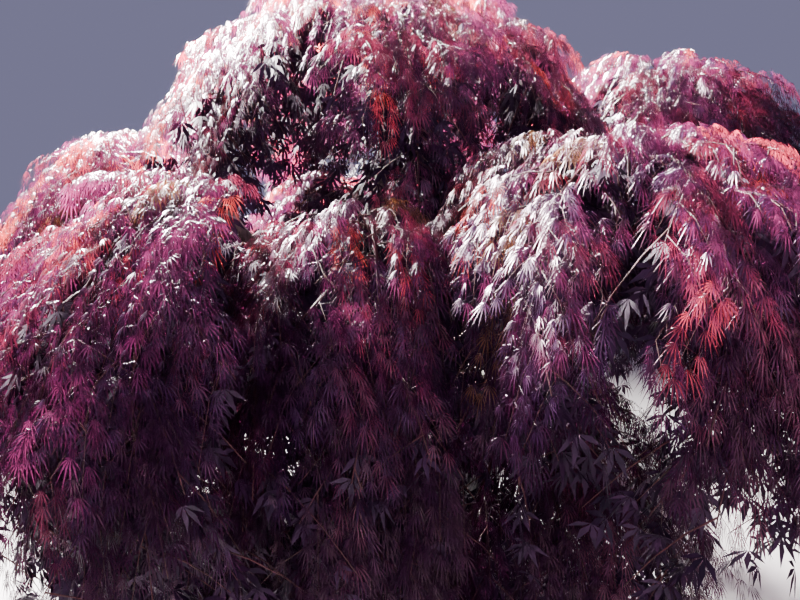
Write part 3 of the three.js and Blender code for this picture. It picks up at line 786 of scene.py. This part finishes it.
# Twiglets on the side twigs. They hang and spread fan-wise, the first near the foot of the twig to cover
# the stem.
steps = np.arange(1, 9)
wanted = (steps[None] * TWIGLET_SPACING < twig_length[:, None] + 0.045).ravel()
let_twig = np.repeat(np.arange(len(twig_m)), len(steps))[wanted]
let_k = np.tile(steps, len(twig_m))[wanted]
let_m = twig_m[let_twig]
let_seed = twig_seed[let_twig] + 0.37 * let_k
let_t = np.clip((let_k - 0.3) * TWIGLET_SPACING / twig_length[let_twig], 0.10, 1.0)
let_start = path_point(*twig_course(let_twig), let_t)
let_along = path_heading(twig_heading[let_twig], twig_droop[let_twig], let_t)
let_facing = facing(let_m, twig_u[let_twig])
let_hand = np.where(let_k % 2 == 0, 1.0, -1.0)
let_heading = unit(
    let_along * (0.55 + 0.3 * chance(let_seed, 1))[:, None]
    + np.cross(let_along, let_facing) * (let_hand * (0.35 + 0.5 * chance(let_seed, 2)))[:, None]
    + let_facing * (0.10 + 0.35 * chance(let_seed, 3))[:, None]
)
let_length = 0.085 + 0.06 * chance(let_seed, 4)
let_droop = 0.45 + 0.50 * chance(let_seed, 5)
let_tip = path_point(let_start, let_heading, let_length, let_droop, np.ones(len(let_m)))
kept = (room(let_m, let_tip) > -0.02) & clear_of_limbs(let_start, 0.008) & within_reach(let_m, let_tip)
kept = kept & (chance(let_seed, 9) < 0.55 + 0.9 * shelf[let_twig] + (twig_u[let_twig] > 0.45))
let_m, let_t, let_twig, let_seed, let_start, let_heading, let_length, let_droop, let_facing = (
    v[kept]
    for v in (let_m, let_t, let_twig, let_seed, let_start, let_heading, let_length, let_droop, let_facing)
)

# Shoots that fill out the inside of the crown: all round the outer half of each bough, and hanging from the
# inner side of each stem and of its longer side twigs.
def bough_shoots(per_bough):
    """Shoots that stand out all round the outer half of each bough."""
    tier = np.repeat(np.arange(len(TIERS)), per_bough)
    seed = 7000 + np.arange(len(tier))
    u = 0.40 + 0.56 * (np.tile(np.arange(per_bough), len(TIERS)) + chance(seed, 1)) / per_bough
    start = bough_paths[tier, (u * (bough_paths.shape[1] - 1)).astype(int)]
    aim = unit(flat_heading(360 * chance(seed, 2)) - down * (0.7 * swing(seed, 3))[:, None])
    return {"tier": tier, "seed": seed, "start": start, "heading": aim}


def hanging_shoots(m, u, start, seed):
    """Shoots that hang inwards from places near the spines of masses m."""
    sideways = masses["side"][m] * (1.3 * swing(seed, 2))[:, None]
    inwards = facing(m, u) * (-0.3 - 0.4 * chance(seed, 3))[:, None]
    aim = unit(sideways + inwards + down * 0.5)
    return {"tier": masses["tier"][m], "seed": seed, "start": start, "heading": aim}


def picked(things, wanted):
    """Some of the things, whose arrays lie under the same keys."""
    return {key: value[wanted] for key, value in things.items()}


BOUGH_SHOOTS = 36
STEM_SHOOTS = 20
LONG_TWIG = 0.13
stem_m = np.repeat(np.arange(count), STEM_SHOOTS)
stem_seed = 9000 + np.arange(len(stem_m))
stem_u = 0.06 + 0.88 * ((np.tile(np.arange(STEM_SHOOTS), count) + chance(stem_seed, 1)) / STEM_SHOOTS) ** 0.7
long_twig = np.repeat(np.flatnonzero(twig_length > LONG_TWIG), 2)
long_seed = 12000 + np.arange(len(long_twig))
long_t = np.where(long_seed % 2 == 0, 0.38, 0.75) + 0.2 * chance(long_seed, 1)
long_start = path_point(*twig_course(long_twig), long_t)
shoots = [
    bough_shoots(BOUGH_SHOOTS),
    hanging_shoots(stem_m, stem_u, spine(stem_m, stem_u), stem_seed),
    hanging_shoots(twig_m[long_twig], twig_u[long_twig], long_start, long_seed),
]
shoots = {key: np.concatenate([each[key] for each in shoots]) for key in shoots[0]}
shoots["length"] = 0.13 + 0.15 * chance(shoots["seed"], 4)
shoots["droop"] = 0.25 + 0.25 * chance(shoots["seed"], 5)
course = (shoots[key] for key in ("start", "heading", "length", "droop"))
shoot_end = path_point(*course, np.ones(len(shoots["seed"])))
kept = clear_of_limbs(shoot_end, 0.03) & off_pot_and_ground(shoot_end)
shoots = picked(shoots, kept)


def twig_finish():
    """Young wood in random patches of dark wine red and brown."""
    finish = Finish("maple_twig")
    patches = finish.noise(finish.place(), 30.0, 2.0)
    colour = finish.ramp(patches, (0.35, (0.030, 0.012, 0.012)), (0.65, (0.065, 0.017, 0.020)))
    return finish.plain({"Base Color": colour, "Roughness": 0.65, "Specular IOR Level": 0.25})


def round_twigs(paths, thick, thin, sides):
    """Tubes that taper evenly from thick to thin."""
    taper = np.linspace(thick, thin, paths.shape[1])[None, :, None]
    across = np.cross(paths[:, -1] - paths[:, 0], down) + 1e-4
    return tubes(paths, np.broadcast_to(taper, (len(paths), paths.shape[1], 1)), unit(across), sides)


def joined(*parts):
    """Several sets of tubes as one set of places and faces."""
    offset = np.cumsum([0] + [len(places) for places, _ in parts[:-1]])
    faces = [block + start for start, (_, blocks) in zip(offset, parts) for block in blocks]
    return np.concatenate([places for places, _ in parts]), faces


stem_set = tubes(stem_paths, stem_radii, unit(np.cross(masses["outward"], down)), 6)
twig_set = round_twigs(arching(twig_start, twig_heading, twig_length, twig_droop, 6), *TWIG_RADII, 4)
let_set = round_twigs(arching(let_start, let_heading, let_length, let_droop, 3), *TWIGLET_RADII, 3)
shoot_course = [shoots[key] for key in ("start", "heading", "length", "droop")]
shoot_set = round_twigs(arching(*shoot_course, 4), *SHOOT_RADII, 3)
twig_places, twig_faces = joined(stem_set, twig_set, let_set, shoot_set)
twigs = surface("maple_twigs", twig_places, *twig_faces)
twigs.data.materials.append(twig_finish())
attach(twigs, "root")


# The leaves: in pairs along the twiglets, on short stalks. A leaf is cut to its base into seven narrow
# lobes, which hang and curl like fingers. Each twiglet is one spray with one colour. Deeper in the crown
# sit broader leaves of fewer lobes, coloured nearly black as painted shade, that darken its inside.

LOBE_LENGTH = 0.036
# A lobe's corners as (share of its length, share aside): its base, its widest place on either side, and its
# tip.
LOBE_OUTLINE = np.array([(0.02, 0), (0.38, -0.041), (0.52, 0.045), (1, 0)])
LOBE_FACES = np.array([[0, 2, 1], [1, 2, 3]])
# Each lobe's angle from the leaf's middle line in degrees, and its length as a share of the longest.
LOBES = [(0, 1.0), (22, 0.98), (-22, 0.98), (46, 0.88), (-46, 0.88), (76, 0.62), (-76, 0.62)]
SHADE_LOBES = [(20, 1.0), (-20, 1.0), (62, 0.85), (-62, 0.85)]
SHADE_SIZE = 0.054
SHADE_WIDER = 2.9
INNER_LEAVES = 7
SHOOT_LEAVES = 8
STALK = 0.021
STALK_HALF_WIDTH = 0.0007
GLOW_SHARE = 0.28
LEAF_SHARES = (0.08, 0.22, 0.36, 0.50, 0.64, 0.78, 0.92)
# Each spray's colour: the leaf's own, the light that glows through it, its gloss, and its share of the
# sprays. Plum is painted shade, for the low ones only, and maroon and scarlet are dealt out more where the
# sun falls, as painted light.
LEAF_COLOURS = {
    "leaf_purple": ((0.020, 0.005, 0.026), (0.115, 0.013, 0.050), 0.40, 0.60),
    "leaf_wine": ((0.038, 0.006, 0.022), (0.165, 0.015, 0.038), 0.40, 0.28),
    "leaf_maroon": ((0.075, 0.009, 0.020), (0.330, 0.026, 0.045), 0.36, 0.09),
    "leaf_scarlet": ((0.160, 0.018, 0.024), (0.620, 0.060, 0.050), 0.30, 0.02),
    "leaf_bronze": ((0.060, 0.026, 0.016), (0.18, 0.065, 0.022), 0.30, 0.01),
    "leaf_plum": ((0.015, 0.003, 0.015), (0.07, 0.006, 0.035), 0.20, 0),
}


def leaf_finish(name, colour, glow, gloss):
    """A satin leaf, a little uneven in colour, that lets some red light through."""
    finish = Finish(name)
    dark, light = [tuple(share * part for part in colour) for share in (0.65, 1.35)]
    patches = finish.ramp(finish.noise(finish.place(), 45.0, 1.0), (0.35, dark), (0.65, light))
    sockets = {"Base Color": patches, "Roughness": 0.30, "Specular IOR Level": gloss}
    satin = finish.node("ShaderNodeBsdfPrincipled", {}, {**sockets, "Specular Tint": (1.0, 0.64, 0.76, 1)})
    thin = finish.node("ShaderNodeBsdfTranslucent", {}, {"Color": (*glow, 1)})
    return finish.done(finish.node("ShaderNodeMixShader", {}, {0: GLOW_SHARE, 1: satin, 2: thin}))


def shade_finish():
    """Leaves that never see the sun, coloured nearly black purple and dull as painted shade."""
    finish = Finish("leaf_in_shade")
    patches = finish.noise(finish.place(), 25.0, 1.0)
    # Painted shade: both colours of these leaves are nearly black.
    colour = finish.ramp(patches, (0.35, (0.011, 0.004, 0.014)), (0.65, (0.026, 0.008, 0.028)))
    return finish.plain({"Base Color": colour, "Roughness": 0.6, "Specular IOR Level": 0.15})


def lobe_places(leaf, degrees, reach, outline):
    """Corners of one lobe on every leaf: it runs from the leaf's middle at its own angle in the blade's
    plane and bends down with the square of the distance."""
    turn = math.radians(degrees)
    way = leaf["along"] * math.cos(turn) + leaf["across"] * math.sin(turn)
    side = leaf["across"] * math.cos(turn) - leaf["along"] * math.sin(turn)
    length = (leaf["size"] * reach)[:, None, None]
    ahead, aside = outline[None, :, :1], outline[None, :, 1:]
    curl = leaf["curl"][:, None, None]
    bent = way[:, None] * ahead + side[:, None] * aside + down * curl * ahead * ahead
    return leaf["middle"][:, None] + length * bent


def cut_leaves(leaf):
    """Seven narrow lobes, and the stalk as one thin triangle."""
    parts = [lobe_places(leaf, degrees, reach, LOBE_OUTLINE) for degrees, reach in LOBES]
    stalk = leaf["across"] * STALK_HALF_WIDTH
    parts.append(np.stack([leaf["foot"] - stalk, leaf["foot"] + stalk, leaf["middle"]], axis=1))
    corners = len(LOBE_OUTLINE)
    faces = [LOBE_FACES + corners * i for i in range(len(LOBES))]
    faces.append(corners * len(LOBES) + np.arange(3)[None])
    return np.concatenate(parts, axis=1), np.concatenate(faces)


def shade_leaves(leaf):
    """Four broad lobes."""
    outline = LOBE_OUTLINE * (1, SHADE_WIDER)
    parts = [lobe_places(leaf, degrees, reach, outline) for degrees, reach in SHADE_LOBES]
    faces = [LOBE_FACES + len(LOBE_OUTLINE) * i for i in range(len(SHADE_LOBES))]
    return np.concatenate(parts, axis=1), np.concatenate(faces)


def scatter(seed, k):
    """Repeatable vectors whose parts lie from -1 to 1."""
    return np.stack([swing(seed, k), swing(seed, k + 1), swing(seed, k + 2)], 1)


def outer_leaves():
    """Two leaves at each joint of a twiglet, one to each side, and one at its tip."""
    joint_t = np.append(np.repeat(LEAF_SHARES, 2), 1.0)
    joint_hand = np.append(np.tile((1.0, -1.0), len(LEAF_SHARES)), 0.0)
    number = np.tile(np.arange(len(joint_t)), len(let_m))
    let = np.repeat(np.arange(len(let_m)), len(joint_t))
    seed = 10 * let_seed[let] + number
    t = np.clip(joint_t[number] + 0.06 * swing(seed, 11), 0.05, 1)
    face = let_facing[let]
    foot = path_point(let_start[let], let_heading[let], let_length[let], let_droop[let], t)
    way = path_heading(let_heading[let], let_droop[let], t)
    stalk_way = unit(
        way * 0.55
        + unit(np.cross(way, face)) * (joint_hand[number] * (0.7 + 0.3 * chance(seed, 1)))[:, None]
        + face * (0.15 + 0.50 * chance(seed, 2))[:, None]
    )
    middle = foot + stalk_way * (STALK * (0.7 + 0.6 * chance(seed, 3)))[:, None]
    along = unit(stalk_way * 0.75 + down * (0.42 + 0.60 * chance(seed, 4))[:, None] + face * 0.15)
    lean = face + 0.60 * scatter(seed, 5)
    leaf = {
        "m": let_m[let], "spray": let, "foot": foot, "middle": middle, "along": along,
        "across": unit(np.cross(lean, along)),
        "size": LOBE_LENGTH * (0.82 + 0.36 * chance(seed, 8)),
        "curl": 0.40 + 0.55 * chance(seed, 9),
    }
    own_space = room(leaf["m"], middle) > OWN_SPACE_MARGIN
    return picked(leaf, own_space & clear_of_limbs(middle, 0.018) & within_reach(leaf["m"], middle))


def leaves_along(start, heading, length, droop, face, seed, number, per_twig):
    """Leaf number of per_twig on each twig, set off to its inner side and shaken out of line."""
    t = (number + 0.5 + 0.4 * swing(seed, 40)) / per_twig
    place = path_point(start, heading, length, droop, t)
    place = place - face * (0.025 + 0.045 * chance(seed, 41))[:, None] + down * 0.02
    along = unit(path_heading(heading, droop, t) * 0.6 + down * 0.6 + 0.5 * scatter(seed, 42))
    lean = face + 0.5 * scatter(seed, 45)
    return {
        "middle": place, "along": along, "across": unit(np.cross(lean, along)),
        "size": SHADE_SIZE * (0.8 + 0.4 * chance(seed, 48)), "curl": 0.1 + 0.2 * chance(seed, 49),
    }


def inner_leaves():
    """Leaves along the inner side of each side twig."""
    twig = np.repeat(np.arange(len(twig_m)), INNER_LEAVES)
    number = np.tile(np.arange(INNER_LEAVES), len(twig_m))
    m = twig_m[twig]
    face = facing(m, twig_u[twig])
    leaf = leaves_along(*twig_course(twig), face, 5 * twig_seed[twig] + number, number, INNER_LEAVES)
    leaf["tier"] = masses["tier"][m]
    place = leaf["middle"]
    fits = (room(m, place) > -0.01) & clear_of_limbs(place, 0.02) & within_reach(m, place)
    return picked(leaf, fits)


def shoot_leaves():
    """Leaves along the shoots inside the crown."""
    shoot = np.repeat(np.arange(len(shoots["seed"])), SHOOT_LEAVES)
    number = np.tile(np.arange(SHOOT_LEAVES), len(shoots["seed"]))
    face = np.broadcast_to(-down, (len(shoot), 3))
    seed = 3 * shoots["seed"][shoot] + number
    leaf = leaves_along(*(each[shoot] for each in shoot_course), face, seed, number, SHOOT_LEAVES)
    leaf["tier"] = shoots["tier"][shoot]
    return picked(leaf, clear_of_limbs(leaf["middle"], 0.02) & off_pot_and_ground(leaf["middle"]))


def spray_colours():
    """The number of each spray's colour. As painted light, sprays are redder and brighter where the sun
    falls: high up, on the sunny left, at the ends of the twigs and on shelf tops. As painted shade, low ones
    are dark plum. Elsewhere it goes by chance."""
    edges = np.cumsum([share for *_, share in LEAF_COLOURS.values()])
    height = let_start[:, 2]
    high = 1 - twig_u[let_twig]
    # Painted light: this score deals redder, brighter colours and rises where the sun falls, high on the
    # spine, at twig ends, on shelf tops, high up and on the left.
    place = 0.05 * (high - 0.5) + 0.06 * (let_t - 0.6) + 0.05 * (shelf[let_twig] - 0.5)
    place = place + 0.14 * (height - 1.6) - 0.06 * let_start[:, 0]
    drawn = np.searchsorted(edges[:3], np.clip(chance(let_seed, 30), 0, 0.97) + place)
    drawn = np.where(chance(let_seed, 31) < edges[4] - edges[3], 4, drawn)
    # Painted shade: sprays low down are dealt the dark plum.
    return np.where(chance(let_seed, 32) < 0.85 * np.clip((1.45 - height) / 0.5, 0, 1), 5, drawn)


outer = outer_leaves()
inner = inner_leaves()
hidden = shoot_leaves()
inner = {key: np.concatenate([inner[key], hidden[key]]) for key in inner}
colour_of_spray = spray_colours()
materials = [leaf_finish(name, *looks) for name, (*looks, _) in LEAF_COLOURS.items()] + [shade_finish()]
for number, tier in enumerate(TIERS):
    near = picked(outer, masses["tier"][outer["m"]] == number)
    deep = picked(inner, inner["tier"] == number)
    near_places, near_faces = cut_leaves(near)
    deep_places, deep_faces = shade_leaves(deep)
    near_all = near_faces[None] + near_places.shape[1] * np.arange(len(near_places))[:, None, None]
    deep_all = deep_faces[None] + deep_places.shape[1] * np.arange(len(deep_places))[:, None, None]
    deep_all = deep_all + near_places.shape[0] * near_places.shape[1]
    places = np.concatenate([near_places.reshape(-1, 3), deep_places.reshape(-1, 3)])
    faces = np.concatenate([near_all.reshape(-1, 3), deep_all.reshape(-1, 3)])
    leaves = surface(f"{tier.name}_leaves", places, faces)
    for material in materials:
        leaves.data.materials.append(material)
    kinds = np.full(len(faces), len(materials) - 1)
    kinds[: near_all.size // 3] = np.repeat(colour_of_spray[near["spray"]], len(near_faces))
    leaves.data.polygons.foreach_set("material_index", kinds.astype(np.int32))
    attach(leaves, "root")
    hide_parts(*[name for name, t in zip(masses["name"], masses["tier"]) if t == number])


# The floor, the light and the camera. The floor is plain grey. A narrow lamp high behind the tree on the
# left stands for the sun of the photo, two behind it light the top edges, and two weak broad ones fill the
# front.

def floor_finish():
    return Finish("floor").plain({"Base Color": (0.36, 0.35, 0.34, 1), "Roughness": 0.9})


FLOOR_HALF = 12.0
floor_corners = np.array([[-1, -1, 0], [1, -1, 0], [1, 1, 0], [-1, 1, 0]]) * FLOOR_HALF
floor = surface("floor", floor_corners, np.array([[0, 1, 2, 3]]))
floor.data.materials.append(floor_finish())


def lamp(name, place, target, size, power, colour, spread=180):
    """A round lamp, whose light fades to nothing at half its spread in degrees from its middle."""
    light = bpy.data.lights.new(name, "AREA")
    light.shape = "DISK"
    light.size = size
    light.spread = math.radians(spread)
    light.energy = power
    light.color = colour
    holder = in_scene(name, light)
    holder.location = place
    holder.rotation_euler = (Vector(target) - Vector(place)).to_track_quat("-Z", "Y").to_euler()


lamp("key", (-4.9, 3.6, 5.2), (-0.2, -0.45, 1.55), 1.1, 1820, (1.0, 0.94, 0.95), 46)
lamp("back_rim", (-1.2, 6.0, 4.6), (-0.15, 0.1, 2.1), 1.4, 3800, (1.0, 0.92, 0.94), 40)
lamp("crown_light", (-0.3, 4.0, 5.6), (0.02, -0.1, 2.0), 0.8, 80, (1.0, 0.92, 0.94), 18)
lamp("front_fill", (-0.6, -3.8, 3.6), (0, -0.3, 1.0), 3.0, 70, (0.80, 0.60, 1.0))
lamp("right_fill", (3.0, -3.4, 1.8), (0.6, -0.7, 0.8), 2.5, 80, (1.0, 0.60, 0.80))

world = bpy.data.worlds.new("studio")
world.use_nodes = True
background = world.node_tree.nodes["Background"].inputs
background["Color"].default_value = (0.62, 0.60, 1.0, 1)
background["Strength"].default_value = 0.30
bpy.context.scene.world = world

CAMERA_PLACE = (0.0, -2.45, 1.58)
CAMERA_PITCH = -13.0
CAMERA_WIDTH_ANGLE = 62.0
camera_data = bpy.data.cameras.new("camera")
camera_data.sensor_width = 36.0
camera_data.lens = camera_data.sensor_width / 2 / math.tan(math.radians(CAMERA_WIDTH_ANGLE / 2))
camera = in_scene("camera", camera_data)
camera.location = CAMERA_PLACE
camera.rotation_euler = (math.radians(90 + CAMERA_PITCH), 0, 0)
bpy.context.scene.camera = camera
